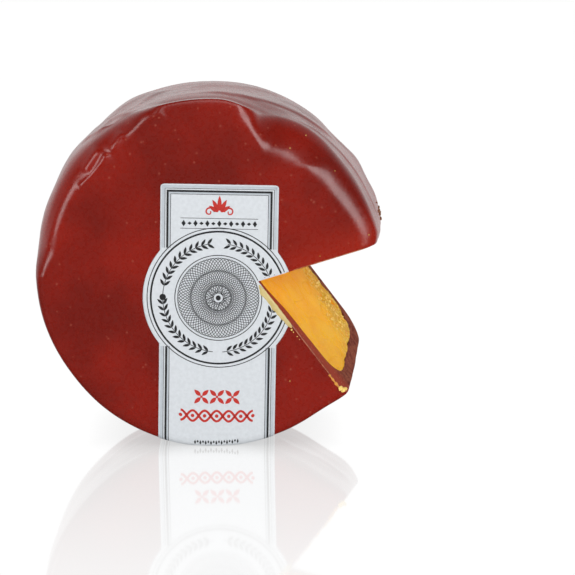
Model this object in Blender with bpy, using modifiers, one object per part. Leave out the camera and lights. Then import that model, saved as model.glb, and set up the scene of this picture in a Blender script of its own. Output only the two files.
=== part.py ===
# A small waxed cheese wheel standing on its edge, with one wedge cut out of it.
#
# The wheel's axis lies along Y, its front face looks along -Y, and it stands on a flat spot of its rim at z = 0.
# Angles are measured round the axis as seen from the front: 0 is +X, 90 degrees is up.
# Three pieces: the cheese, the wax shell round it, which is open where the wedge is missing, and a paper label
# that starts on the front face, turns under the wheel and ends on the back face.

import math

import bmesh
import bpy
import numpy as np
from mathutils import Matrix, Vector, noise

MM = 0.001

# Wheel
WHEEL_RADIUS = 40.8 * MM
WHEEL_DEPTH = 38.0 * MM
WHEEL_CENTRE_X = 0.443 * MM
WHEEL_CENTRE_Z = 40.6 * MM  # under the radius, so the rim is pressed flat where it stands
# Each wave: how many round the wheel, its height and the angle of its crest
OUTLINE_WAVES = (
    (2, 0.42 * MM, -107.0),
    (3, 0.11 * MM, -24.0),
    (4, 0.14 * MM, -87.0),
    (5, 0.11 * MM, -72.0),
)

# Wax
WAX_ON_FACES = 1.9 * MM
WAX_ON_RIM = 3.2 * MM
FRONT_EDGE_ROUND = 3.1 * MM
LIP_ROUND = 0.6 * MM  # the same at the lip on top
BACK_EDGE_ROUND = 6.0 * MM
NOMINAL_EDGE_ROUND = 4.0 * MM
CHEESE_EDGE_ROUND = 6.5 * MM

# The wax has sagged at two places of the front edge: where that starts and ends, how steeply it falls back from its
# crest, and over what width it turns there
RIGHT_SAG_FROM, RIGHT_SAG_TO = -20.0, 76.0
RIGHT_SAG_SLOPE = 0.62
RIGHT_SAG_TURN = 3.7 * MM
LEFT_SAG_FROM, LEFT_SAG_TO = 116.0, 176.0
LEFT_SAG_SLOPE = 1.1
LEFT_SAG_TURN = 2.9 * MM
LEFT_SAG_INWARD = 0.7 * MM

# Folds in the wax: angles in degrees, sizes in metres
LIP_FROM, LIP_TO = 73.0, 108.0
LIP_FADE = 13.0
LIP_OUT = 0.15 * MM
LIP_GROOVE = 0.6 * MM
LIP_GROOVE_DEPTH = 5.5 * MM
FOLD_ANGLE = 72.5
FOLD_SIZE = 0.5 * MM
WORN_ANGLE = 10.6
WORN_SIZE = 1.1 * MM
LOW_RIM = 0.6 * MM
LOW_RIM_DEEPER = 1.5 * MM
SHOULDER_ANGLE = 141.0
SHOULDER_OUT = 0.75 * MM
SHOULDER_FRONT_IN = 0.35 * MM
# Uneven back edge: the angle of each bulge or dent, its width and its height
BACK_UNEVEN = (
    (33.0, 4.5, 0.4 * MM),
    (17.0, 5.0, 0.5 * MM),
    (44.5, 5.5, -0.55 * MM),
    (118.0, 6.0, 0.35 * MM),
    (134.0, 8.0, -0.55 * MM),
)
LOWER_CORNER_ANGLE = -40.0
LOWER_CORNER_OUT = 1.3 * MM

# Missing wedge: its tip on the front face from the wheel's centre, and the angles of its two cuts
TIP_X = 10.84 * MM
TIP_Z = -1.19 * MM
UPPER_CUT_ANGLE = 17.2
LOWER_CUT_ANGLE = -53.0
LOWER_CUT_SLANT = 7.4 * MM  # how much nearer the upper cut it is at the back face
CUT_LENGTH = 38.0 * MM

# Broken surface of the cheese at the cuts
CRUMB_SMOOTH = 0.12 * MM
CRUMB_ROUGH = 0.5 * MM
CRACK_DEPTH = 0.7 * MM

# Paper label, from the wheel's centre
LABEL_WIDTH = 27.05 * MM
LABEL_CENTRE_X = 1.6 * MM
LABEL_CENTRE_Z = -5.1 * MM
LABEL_TILT = -1.07
LABEL_TOP = 26.5 * MM  # above the middle of its round part
LABEL_CORNER = 0.8 * MM
MEDALLION_RADIUS = 17.4 * MM
LABEL_BACK_TOP = 12.0 * MM  # height above the ground of its end on the back face
LABEL_THICKNESS = 0.3 * MM

GAP = 0.3 * MM  # between pieces that touch
STEPS_ROUND = 84
BEYOND = 3.0 * MM  # how far a cutter runs past what it cuts


def clear_scene():
    for obj in list(bpy.data.objects):
        bpy.data.objects.remove(obj, do_unlink=True)


def make_collection(name):
    collection = bpy.data.collections.new(name)
    bpy.context.scene.collection.children.link(collection)
    return collection


def make_material(name, colour, roughness):
    material = bpy.data.materials.new(name)
    material.use_nodes = True
    shader = material.node_tree.nodes["Principled BSDF"]
    shader.inputs["Base Color"].default_value = (*colour, 1.0)
    shader.inputs["Roughness"].default_value = roughness
    shader.inputs["Metallic"].default_value = 0.0
    return material


# Shape functions, all on whole arrays


def bump(value, centre, width):
    return np.exp(-(((value - centre) / width) ** 2))


def window(angle, first, last, fade):
    """One between two angles, zero outside them, with soft ends."""
    rise = np.clip((angle - first) / fade + 0.5, 0.0, 1.0)
    fall = np.clip((last - angle) / fade + 0.5, 0.0, 1.0)
    return (rise * rise * (3 - 2 * rise)) * (fall * fall * (3 - 2 * fall))


def outline_scale(angle):
    """The wheel's uneven radius at an angle, as a share of WHEEL_RADIUS."""
    extra = np.zeros_like(angle)
    for count, height, crest in OUTLINE_WAVES:
        extra += height * np.cos(count * np.radians(angle) - math.radians(crest))
    extra += LOWER_CORNER_OUT * bump(angle, LOWER_CORNER_ANGLE, 8.0)
    return 1.0 + extra / WHEEL_RADIUS


def soften(value, low, high):
    """Rises smoothly from zero at low to one at high."""
    share = np.clip((value - low) / (high - low), 0.0, 1.0)
    return share * share * (3 - 2 * share)


def front_edge(angle):
    """The front edge turns at a crest and again at the rim: how far in from the rim the crest lies, how steeply
    the wax falls back from it, over what width it turns there, and how deep the rim starts."""
    right = window(angle, RIGHT_SAG_FROM, RIGHT_SAG_TO, 4.0)
    left = window(angle, LEFT_SAG_FROM, LEFT_SAG_TO, 12.0)
    lip = window(angle, 75.5, LIP_TO, 4.0)
    inward = FRONT_EDGE_ROUND + MM * (
        2.0 * soften(angle, 14.0, 38.0) + 2.5 * soften(angle, 38.0, 58.0) - 4.0 * soften(angle, 67.5, 78.0)
    )
    inward = np.where(angle > 95.0, FRONT_EDGE_ROUND + LEFT_SAG_INWARD * left, inward)
    inward = inward * (1 - lip) + LIP_ROUND * lip
    slope = RIGHT_SAG_SLOPE * right + LEFT_SAG_SLOPE * left
    pinch = 2.2 * MM * bump(angle, 49.0, 3.5)
    turning = 0.8 * MM + (RIGHT_SAG_TURN - pinch) * right + LEFT_SAG_TURN * left
    deep = slope * inward + (2.8 + left) * MM * (1 - lip) + LIP_ROUND * lip
    return inward, slope, np.minimum(turning, 1.6 * inward), deep


def local_profile(rho, y, angle, offset):
    """Moves points of the even, turned profile on to the one that the wax has at each angle."""
    radius = WHEEL_RADIUS + offset
    half = WHEEL_DEPTH / 2 + offset
    nominal = NOMINAL_EDGE_ROUND + offset
    in_edge = (rho > radius - nominal) & (np.abs(y) > half - nominal)
    turn = np.arctan2(rho - (radius - nominal), np.abs(y) - (half - nominal))
    on_face = (rho <= radius - nominal) & ~in_edge

    # Back half: a plain rounding
    back = BACK_EDGE_ROUND + offset
    back_rho = np.where(in_edge, radius - back + back * np.sin(turn), rho)
    back_rho = np.where(on_face, rho * (radius - back) / (radius - nominal), back_rho)
    back_y = np.where(in_edge, half - back + back * np.cos(turn), y * (half - back) / (half - nominal))
    back_y = np.where(on_face, y, back_y)

    # Front half: two parabolas, from the face to halfway down the slope and from there to the rim
    inward, slope, turning, deep = front_edge(angle)
    inward, deep = inward + offset, deep + offset
    share = turn / (math.pi / 2)
    crest = np.clip(share / 0.4, 0, 1)
    away = 1 - np.clip((share - 0.4) / 0.6, 0, 1)
    edge_rho = np.where(
        share < 0.4, radius - inward + turning * (crest - 0.5), radius - away**2 * (inward - turning / 2)
    )
    fallen = away**2 * slope * turning / 2 + 2 * away * (1 - away) * slope * inward + (1 - away) ** 2 * deep
    fallen = np.where(share < 0.4, crest**2 * slope * turning / 2, fallen)
    front_rho = np.where(in_edge, edge_rho, rho)
    front_rho = np.where(on_face, rho * (radius - inward - turning / 2) / (radius - nominal), front_rho)
    front_y = np.where(in_edge, fallen - half, y * (half - deep) / (half - nominal))
    front_y = np.where(on_face, y, front_y)
    return np.where(y < 0, front_rho, back_rho), np.where(y < 0, front_y, back_y)


def wax_folds(rho, y, angle):
    """How far the folds move the wax outwards from the axis."""
    depth = y + WHEEL_DEPTH / 2
    edge = rho - WHEEL_RADIUS
    lip = window(angle, LIP_FROM, LIP_TO, LIP_FADE)
    at_lip = lip * bump(edge, 0.0, 2.4 * MM) * bump(depth, 1.0 * MM, 2.6 * MM)
    groove = lip * bump(edge, 0.0, 3.0 * MM) * bump(depth, LIP_GROOVE_DEPTH, 2.0 * MM)
    fold = bump(angle, FOLD_ANGLE, 2.4) * bump(edge, 0.0, 3.0 * MM) * bump(depth, 1.5 * MM, 3.5 * MM)
    worn = bump(angle, WORN_ANGLE, 2.3) * bump(edge, 0.0, 2.6 * MM) * bump(depth, 2.0 * MM, 9.0 * MM)
    out = LIP_OUT * at_lip - LIP_GROOVE * groove - FOLD_SIZE * fold - WORN_SIZE * worn

    # The rim is lower behind the right sag, bulges at the left shoulder and is uneven along its back edge
    low = (LOW_RIM + LOW_RIM_DEEPER * bump(angle, 70.0, 8.0)) * window(angle, RIGHT_SAG_FROM, 75.5, 4.0)
    shoulder = SHOULDER_OUT * bump(depth, 16.0 * MM, 10.0 * MM) - SHOULDER_FRONT_IN * bump(depth, 0.0, 5.0 * MM)
    behind = sum(height * bump(angle, middle, width) for middle, width, height in BACK_UNEVEN)
    near_edge = shoulder * bump(angle, SHOULDER_ANGLE, 9.0) - low * bump(depth, 3.0 * MM, 9.0 * MM)
    near_edge += behind * bump(depth, 33.0 * MM, 13.0 * MM)
    return out + near_edge * bump(edge, 0.0, 8.0 * MM)


def shape_wax(points, offset):
    """Turned points to points on the wax, or on a surface that lies the offset outside it."""
    x, y, z = points.T
    rho = np.hypot(x, z)
    angle = np.degrees(np.arctan2(z, x))
    rho, y = local_profile(rho, y, angle, offset)
    rho = (rho + wax_folds(rho, y, angle)) * outline_scale(angle)
    z = rho * np.sin(np.radians(angle))
    ground = GAP + LABEL_THICKNESS - offset
    z = np.maximum(z, ground - WHEEL_CENTRE_Z)
    return np.column_stack((rho * np.cos(np.radians(angle)), y, z))


def shape_cheese(points, offset):
    """Turned points to points on the cheese, or on the hollow in the wax that lies the offset outside it."""
    x, y, z = points.T
    rho = np.hypot(x, z)
    angle = np.degrees(np.arctan2(z, x))
    rho = rho * outline_scale(angle)
    z = rho * np.sin(np.radians(angle))
    ground = GAP + LABEL_THICKNESS + WAX_ON_RIM - offset
    z = np.maximum(z, ground - WHEEL_CENTRE_Z)
    return np.column_stack((rho * np.cos(np.radians(angle)), y, z))


# Mesh helpers


def move_points(mesh, rule):
    """Sends every vertex through a rule that takes and gives an array of points."""
    points = np.empty(len(mesh.vertices) * 3)
    mesh.vertices.foreach_get("co", points)
    mesh.vertices.foreach_set("co", rule(points.reshape(-1, 3)).ravel())
    mesh.update()


def place_at_centre(mesh):
    mesh.transform(Matrix.Translation((WHEEL_CENTRE_X, 0.0, WHEEL_CENTRE_Z)))


def evaluated_copy(obj):
    graph = bpy.context.evaluated_depsgraph_get()
    return bpy.data.meshes.new_from_object(obj.evaluated_get(graph))


def turned_profile(radius, half, edge, face_rings, edge_rows, rim_rows):
    """Half a section of the wheel, from the middle of the front face round to the middle of the back one."""
    points = [(share * (radius - edge), half) for share in face_rings]
    for row in range(edge_rows + 1):
        turn = math.pi / 2 * row / edge_rows
        points.append((radius - edge + edge * math.sin(turn), half - edge + edge * math.cos(turn)))
    for row in range(1, rim_rows):
        points.append((radius, (half - edge) * (1 - 2 * row / rim_rows)))
    front = [(rho, height) for rho, height in points if height > 0]
    middle = [(rho, 0.0) for rho, height in points if abs(height) < 1e-9]
    back = [(rho, -height) for rho, height in reversed(front)]
    return front + middle + back


def turned_body(name, profile):
    """The profile turned about the wheel's axis, as a mesh with the front face towards -Y."""
    mesh = bpy.data.meshes.new(name)
    edges = [(i, i + 1) for i in range(len(profile) - 1)]
    mesh.from_pydata([(rho, 0.0, height) for rho, height in profile], edges, [])
    guide = bpy.data.objects.new(name + "_profile", mesh)
    bpy.context.scene.collection.objects.link(guide)
    screw = guide.modifiers.new("Turn", "SCREW")
    screw.steps = STEPS_ROUND
    screw.render_steps = STEPS_ROUND
    screw.use_merge_vertices = True
    screw.merge_threshold = 0.00001
    turned = evaluated_copy(guide)
    bpy.data.objects.remove(guide, do_unlink=True)
    turned.name = name
    turned.transform(Matrix.Rotation(math.pi / 2, 4, "X"))
    return turned


def wax_surface(name, offset, face_rings, edge_rows, rim_rows):
    profile = turned_profile(
        WHEEL_RADIUS + offset,
        WHEEL_DEPTH / 2 + offset,
        NOMINAL_EDGE_ROUND + offset,
        face_rings,
        edge_rows,
        rim_rows,
    )
    mesh = turned_body(name, profile)
    move_points(mesh, lambda points: shape_wax(points, offset))
    return mesh


def cheese_surface(name, offset):
    profile = turned_profile(
        WHEEL_RADIUS - WAX_ON_RIM + offset,
        WHEEL_DEPTH / 2 - WAX_ON_FACES + offset,
        CHEESE_EDGE_ROUND + offset,
        (0.0, 0.5),
        4,
        2,
    )
    mesh = turned_body(name, profile)
    move_points(mesh, lambda points: shape_cheese(points, offset))
    return mesh


# Missing wedge


def crack(along, depth, start, end, waviness):
    """How deep a wandering crack cuts, along a line between two places of the cut face."""
    run = np.array(end) - np.array(start)
    length = np.hypot(*run)
    run = run / length
    on = (along - start[0]) * run[0] + (depth - start[1]) * run[1]
    off = (depth - start[1]) * run[0] - (along - start[0]) * run[1]
    off = off + waviness * np.sin(on / (2.2 * MM))
    ends = np.clip(on / (2 * MM), 0, 1) * np.clip((length - on) / (2 * MM), 0, 1)
    return ends * bump(off, 0.0, 0.9 * MM)


def crumbly(along, depth):
    """Relief of the broken cheese: smooth near the tip and the front, crumbly near the rim and the back."""
    places = np.column_stack((along, depth)) / (2.6 * MM)
    grain = np.array([noise.fractal(Vector((u, v, 4.0)), 0.8, 2.1, 3) for u, v in places])
    rough = np.clip(0.55 * along / (32 * MM) + 0.65 * depth / WHEEL_DEPTH - 0.15, 0.0, 1.0)
    relief = (CRUMB_SMOOTH + (CRUMB_ROUGH - CRUMB_SMOOTH) * rough) * grain
    relief -= CRACK_DEPTH * crack(along, depth, (6 * MM, 15 * MM), (20 * MM, 21 * MM), 0.5 * MM)
    relief -= CRACK_DEPTH * crack(along, depth, (15 * MM, 31 * MM), (27 * MM, 24 * MM), 0.7 * MM)
    return relief


def plain(along, depth):
    return 0.0 * along


def notch_points(points, relief):
    """A flat grid folded into the two cuts. Its x runs from the upper cut's end, -1, past the tip, 0, to the
    lower cut's end, 1, and its y runs from the front, -1, to the back, 1."""
    side, deep = points[:, 0], points[:, 1]
    depth = -BEYOND + (deep + 1) / 2 * (WHEEL_DEPTH + 2 * BEYOND)
    along = np.abs(side) * CUT_LENGTH
    lower = side > 0
    cut = np.radians(np.where(lower, LOWER_CUT_ANGLE, UPPER_CUT_ANGLE))
    # The tip drifts along the upper cut, as far as the lower cut's slant asks
    upper = math.radians(UPPER_CUT_ANGLE)
    opening = math.radians(UPPER_CUT_ANGLE - LOWER_CUT_ANGLE)
    drift = LOWER_CUT_SLANT / math.sin(opening) * depth / WHEEL_DEPTH
    tip_x = TIP_X + drift * math.cos(upper)
    tip_z = TIP_Z + drift * math.sin(upper)
    # Relief stands out of the cheese, into the missing wedge, and fades away at the tip
    height = relief(along, depth) * np.clip(along / (2 * MM), 0.0, 1.0)
    normal = cut + np.where(lower, math.pi / 2, -math.pi / 2)
    x = tip_x + along * np.cos(cut) + height * np.cos(normal)
    z = tip_z + along * np.sin(cut) + height * np.sin(normal)
    return np.column_stack((x, depth - WHEEL_DEPTH / 2, z))


def notch_cutter(name, columns, rows, relief, collection):
    """The missing wedge as a solid: the folded grid, carried sideways out of the wheel."""
    form = bmesh.new()
    bmesh.ops.create_grid(form, x_segments=2 * columns, y_segments=rows, size=1.0)
    flat = np.array([vertex.co[:] for vertex in form.verts])
    for vertex, place in zip(form.verts, notch_points(flat, relief)):
        vertex.co = place
    extruded = bmesh.ops.extrude_face_region(form, geom=form.faces[:])
    moved = [item for item in extruded["geom"] if isinstance(item, bmesh.types.BMVert)]
    bmesh.ops.translate(form, verts=moved, vec=(2 * WHEEL_RADIUS, 0.0, 0.0))
    bmesh.ops.recalc_face_normals(form, faces=form.faces[:])
    mesh = bpy.data.meshes.new(name)
    form.to_mesh(mesh)
    form.free()
    return helper(name, mesh, collection)


# Objects


def helper(name, mesh, collection):
    """A cutter: placed on the wheel, left out of the render."""
    place_at_centre(mesh)
    obj = bpy.data.objects.new(name, mesh)
    collection.objects.link(obj)
    obj.hide_render = True
    obj.display_type = "WIRE"
    return obj


def piece(name, mesh, material, collection):
    place_at_centre(mesh)
    obj = bpy.data.objects.new(name, mesh)
    collection.objects.link(obj)
    mesh.materials.append(material)
    mesh.shade_smooth()
    mesh.set_sharp_from_angle(angle=math.radians(40))
    return obj


def add_boolean(obj, name, operation, other):
    boolean = obj.modifiers.new(name, "BOOLEAN")
    boolean.operation = operation
    boolean.solver = "EXACT"
    boolean.object = other


def label_outline():
    """The label's outline on the front face: a strip with a round part across its middle."""
    half = LABEL_WIDTH / 2
    reach = math.sqrt(MEDALLION_RADIUS**2 - half**2)
    side = math.atan2(reach, half)
    low = -2 * WHEEL_RADIUS
    points = [(half, low)]
    for step in range(25):
        turn = -side + 2 * side * step / 24
        points.append((MEDALLION_RADIUS * math.cos(turn), MEDALLION_RADIUS * math.sin(turn)))
    for step in range(4):
        turn = math.pi / 2 * step / 3
        corner = LABEL_CORNER * (1 - math.cos(turn)), LABEL_CORNER * (1 - math.sin(turn))
        points.append((half - corner[0], LABEL_TOP - corner[1]))
    return points + [(-x, z) for x, z in reversed(points)]


def label_prism(name, points, front, back, collection):
    """An outline on the front face, tilted as the label is and extruded along the wheel's axis."""
    form = bmesh.new()
    tilt = math.radians(LABEL_TILT)
    ring = []
    for x, z in points:
        placed_x = LABEL_CENTRE_X + x * math.cos(tilt) - z * math.sin(tilt)
        placed_z = LABEL_CENTRE_Z + x * math.sin(tilt) + z * math.cos(tilt)
        ring.append(form.verts.new((placed_x, front, placed_z)))
    face = form.faces.new(ring)
    extruded = bmesh.ops.extrude_face_region(form, geom=[face])
    moved = [item for item in extruded["geom"] if isinstance(item, bmesh.types.BMVert)]
    bmesh.ops.translate(form, verts=moved, vec=(0.0, back - front, 0.0))
    bmesh.ops.recalc_face_normals(form, faces=form.faces[:])
    mesh = bpy.data.meshes.new(name)
    form.to_mesh(mesh)
    form.free()
    return helper(name, mesh, collection)


def make_cheese(parts, cutters):
    material = make_material("cheese", (0.80, 0.36, 0.06), 0.6)
    cheese = piece("cheese", cheese_surface("cheese", 0.0), material, parts)
    cut = notch_cutter("cheese_notch", 26, 28, crumbly, cutters)
    add_boolean(cheese, "Missing wedge", "DIFFERENCE", cut)
    return cheese


def make_wax(parts, cutters, notch):
    material = make_material("wax", (0.22, 0.012, 0.008), 0.3)
    rings = (0.0, 0.35, 0.7, 0.85, 0.92, 0.96)
    wax = piece("wax", wax_surface("wax", 0.0, rings, 6, 8), material, parts)
    hollow = helper("wax_hollow", cheese_surface("wax_hollow", GAP), cutters)
    add_boolean(wax, "Room for the cheese", "DIFFERENCE", hollow)
    add_boolean(wax, "Missing wedge", "DIFFERENCE", notch)
    return wax


def make_label(parts, cutters, notch):
    material = make_material("label_paper", (0.72, 0.74, 0.76), 0.4)
    rings = (0.0, 0.5, 0.85)
    outer = wax_surface("label", GAP + LABEL_THICKNESS, rings, 6, 6)
    label = piece("label", outer, material, parts)
    inner = helper("label_underside", wax_surface("label_underside", GAP, rings, 6, 6), cutters)
    half = LABEL_WIDTH / 2
    end = LABEL_BACK_TOP - WHEEL_CENTRE_Z - LABEL_CENTRE_Z
    strip = [(half, -2 * WHEEL_RADIUS), (half, end), (-half, end), (-half, -2 * WHEEL_RADIUS)]
    reach = WHEEL_DEPTH / 2 + BEYOND
    front = label_prism("label_front_outline", label_outline(), -reach, 0.0, cutters)
    back = label_prism("label_back_outline", strip, -BEYOND, reach, cutters)
    add_boolean(front, "Back part", "UNION", back)
    add_boolean(label, "Skin", "DIFFERENCE", inner)
    add_boolean(label, "Outline", "INTERSECT", front)
    add_boolean(label, "Missing wedge", "DIFFERENCE", notch)
    return label


def main():
    clear_scene()
    parts = make_collection("waxed_cheese_wheel")
    cutters = make_collection("cutters")
    notch = notch_cutter("notch", 8, 8, plain, cutters)
    make_cheese(parts, cutters)
    make_wax(parts, cutters, notch)
    make_label(parts, cutters, notch)


main()
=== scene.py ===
# A small wheel of cheese in dark red wax, standing on its edge, with one wedge cut out and a paper label.
# The shape functions work in millimetres from the wheel's centre, with the front face towards -Y.
# Angles round the wheel are degrees as seen from the front: 0 is to the right, 90 is up.
import math

import bmesh
import bpy
import numpy as np
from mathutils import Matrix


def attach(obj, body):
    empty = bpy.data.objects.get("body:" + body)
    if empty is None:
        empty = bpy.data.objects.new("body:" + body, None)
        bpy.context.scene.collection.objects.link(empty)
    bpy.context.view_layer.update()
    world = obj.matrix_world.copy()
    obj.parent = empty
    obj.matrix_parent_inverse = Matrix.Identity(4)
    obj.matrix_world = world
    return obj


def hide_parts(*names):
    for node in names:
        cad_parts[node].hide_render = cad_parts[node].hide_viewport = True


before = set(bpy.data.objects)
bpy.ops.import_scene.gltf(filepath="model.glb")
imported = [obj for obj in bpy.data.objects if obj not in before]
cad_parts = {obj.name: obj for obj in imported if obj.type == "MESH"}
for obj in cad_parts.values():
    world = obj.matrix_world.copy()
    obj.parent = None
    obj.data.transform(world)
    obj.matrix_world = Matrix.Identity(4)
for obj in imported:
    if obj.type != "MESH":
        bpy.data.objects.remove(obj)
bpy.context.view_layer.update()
print("model loaded")

# Camera

camera = {"place": (0.01798, -0.62599, 0.16696), "tilt": 78.0, "lens": 168.86, "sensor": 36.0}


def makeCamera():
    data = bpy.data.cameras.new("camera")
    data.sensor_fit = "HORIZONTAL"
    data.sensor_width = camera["sensor"]
    data.lens = camera["lens"]
    data.clip_end = 20.0
    obj = bpy.data.objects.new("camera", data)
    obj.location = camera["place"]
    obj.rotation_euler = (math.radians(camera["tilt"]), 0.0, 0.0)
    bpy.context.scene.collection.objects.link(obj)
    bpy.context.scene.camera = obj


makeCamera()

# The wheel, in millimetres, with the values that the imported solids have

wheel = {
    "radius": 40.8,
    "depth": 38.0,
    "centreX": 0.443,
    "centreZ": 40.6,
    "waves": ((2, 0.42, -107.0), (3, 0.11, -24.0), (4, 0.14, -87.0), (5, 0.11, -72.0)),
    "bulge": (1.3, -40.0, 8.0),  # at the lower corner of the notch: height, angle, width
    "faceWave": (0.14, 19.0),  # height and length of the waves on the two faces
    "backRound": 6.0,
    "ground": 0.16,  # where the wax stands, on the label
}

notch = {
    "tip": (10.84, -1.19),
    "upper": 17.2,
    "lower": -53.0,
    "slant": 7.4,  # how far the lower cut turns in towards the back
}

cheeseCore = {
    "radius": 37.6,
    "edgeRound": 6.5,
    "waxOnFront": (1.15, 2.3),  # at the middle and at the rim
    "waxOnBack": 1.9,
    "dragged": 1.9,
    "waver": 0.22,
    "faceRows": 150,
    "edgeRows": 26,
    "rimRows": 96,
}


def bump(value, centre, width):
    # A soft hill, one high at its centre
    return np.exp(-(((value - centre) / width) ** 2))


def soften(value, low, high):
    # Rises smoothly from nought at low to one at high
    share = np.clip((value - low) / (high - low), 0.0, 1.0)
    return share * share * (3 - 2 * share)


def window(angle, first, last, fade):
    # One between two angles, with a soft step at each
    half = fade / 2
    return soften(angle, first - half, first + half) * (1 - soften(angle, last - half, last + half))


# Noise on whole arrays


def scramble(x, y, z, seed):
    # Whole numbers of a lattice point to one well mixed whole number
    mixed = x * np.uint32(374761393) + y * np.uint32(668265263) + z * np.uint32(2246822519)
    mixed = mixed + np.uint32(seed * 97531 + 7)
    mixed = (mixed ^ (mixed >> np.uint32(13))) * np.uint32(1274126177)
    mixed = (mixed ^ (mixed >> np.uint32(15))) * np.uint32(2654435761)
    return mixed ^ (mixed >> np.uint32(16))


def lattice(points):
    # The lattice cell of each point, as numbers that wrap round below nought
    return np.floor(points).astype(np.int64).astype(np.uint32)


def smoothNoise(points, seed):
    # Gradient noise: slopes at the lattice corners, blended by a smooth curve, about -0.7 to 0.7
    cell = lattice(points)
    inside = points - np.floor(points)
    blend = inside**3 * (inside * (inside * 6 - 15) + 10)
    total = np.zeros(points.shape[:-1])
    for corner in range(8):
        step = np.array((corner & 1, corner >> 1 & 1, corner >> 2 & 1))
        mixed = scramble(*np.moveaxis(cell + step.astype(np.uint32), -1, 0), seed)
        turn = (mixed & np.uint32(65535)) / 65536 * 2 * math.pi
        height = (mixed >> np.uint32(16)) / 65536 * 2 - 1
        flat = np.sqrt(1 - height**2)
        slope = np.stack((flat * np.cos(turn), flat * np.sin(turn), height), axis=-1)
        weight = np.prod(np.where(step == 1, blend, 1 - blend), axis=-1)
        total += weight * ((inside - step) * slope).sum(axis=-1)
    return total


def layeredNoise(points, size, layers, seed):
    # Smooth noise at a size, and again at each half of it with half the height
    total = 0.0
    for layer in range(layers):
        total = total + smoothNoise(points / size * 2**layer + 31.7 * layer, seed + layer) / 2**layer
    return total


def cellNoise(points, seed):
    # Distance to the nearest of the points scattered one to a cell, and to the next one
    cell = lattice(points)
    inside = points - np.floor(points)
    first = np.full(points.shape[:-1], 9.0)
    second = np.full(points.shape[:-1], 9.0)
    low = np.uint32(1023)
    for near in range(27):
        step = np.array((near % 3 - 1, near // 3 % 3 - 1, near // 9 - 1))
        mixed = scramble(*np.moveaxis(cell + step.astype(np.int64).astype(np.uint32), -1, 0), seed)
        place = np.stack((mixed & low, mixed >> np.uint32(10) & low, mixed >> np.uint32(22)), axis=-1)
        away = np.linalg.norm(step + place / 1024 - inside, axis=-1)
        second = np.minimum(second, np.maximum(first, away))
        first = np.minimum(first, away)
    return first, second


# Shape of the wax

frontWax = {
    # Where the wax sagged, at the upper right and at the left, and where it has a sharp lip: first and last
    # angle, and how softly each starts and ends
    "right": (-20.0, 77.0, 9.0),
    "left": (116.0, 176.0, 12.0),
    "lip": (74.5, 108.0, 4.5),
    "crest": 3.2,  # how far in from the rim the crest lies
    "crestSteps": ((2.0, 14.0, 38.0), (2.5, 38.0, 58.0), (-4.0, 65.5, 76.0)),  # change, first and last angle
    "crestLeft": (95.0, 3.1, 0.7),  # past this angle it lies so far in, and so much more where it sagged
    "slopes": (0.62, 1.1),  # how steeply it falls back at the right and at the left
    "turnings": (0.8, 3.7, 2.9),  # width of the turn at the crest, and what the right and the left add
    "tight": (2.2, 49.0, 3.5),  # a tighter turn at the right: by how much, angle, width
    "rimStart": (2.8, 0.6),  # how much deeper than the slope the rim starts, and the same at the lip
}

waxFold = {
    "lip": (73.0, 108.0, 13.0),
    # Folds at the front edge: height, width over the edge, depth, width there
    "lipRidge": (0.15, 2.4, 1.0, 2.6),
    "lipGroove": (-0.6, 3.0, 5.5, 2.0),
    "fold": (-0.5, 3.0, 1.5, 3.5),
    "worn": (-0.8, 2.6, 2.0, 9.0),
    "foldAt": (72.5, 2.4),  # angle and width
    "wornAt": (10.6, 2.3),
    "slump": (-20.0, 83.0, 10.0),  # where the rim is lower behind the slump
    "behind": (
        # Rises and dips towards the back edge: height, angle, width
        (0.4, 33.0, 4.5), (0.5, 17.0, 5.0), (-0.55, 44.5, 5.5), (0.35, 118.0, 6.0), (-0.55, 134.0, 8.0),
    ),
    "behindDepth": (33.0, 13.0),
}


def outlineScale(angle):
    # The uneven radius: a few waves, and a bulge at the lower corner of the notch
    extra = np.zeros_like(angle)
    for count, height, crest in wheel["waves"]:
        extra += height * np.cos(count * np.radians(angle) - math.radians(crest))
    height, middle, width = wheel["bulge"]
    extra += height * bump(angle, middle, width)
    return 1 + extra / wheel["radius"]


def frontEdge(angle):
    # The front edge turns at a crest and again at the rim. For each angle: how far the crest lies in from the
    # rim, how steeply the wax falls back from there, over what width it turns at the crest, and how deep the
    # rim starts
    right, left, lip = (window(angle, *frontWax[part]) for part in ("right", "left", "lip"))
    inward = frontWax["crest"]
    for change, low, high in frontWax["crestSteps"]:
        inward = inward + change * soften(angle, low, high)
    past, level, more = frontWax["crestLeft"]
    inward = np.where(angle > past, level + more * left, inward)
    slope = frontWax["slopes"][0] * right + frontWax["slopes"][1] * left
    tighter, middle, width = frontWax["tight"]
    least, atRight, atLeft = frontWax["turnings"]
    turning = least + (atRight - tighter * bump(angle, middle, width)) * right + atLeft * left
    deep = slope * inward + (frontWax["rimStart"][0] + left) * (1 - lip) + frontWax["rimStart"][1] * lip
    return inward, slope, np.minimum(turning, 1.6 * inward), deep


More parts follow.
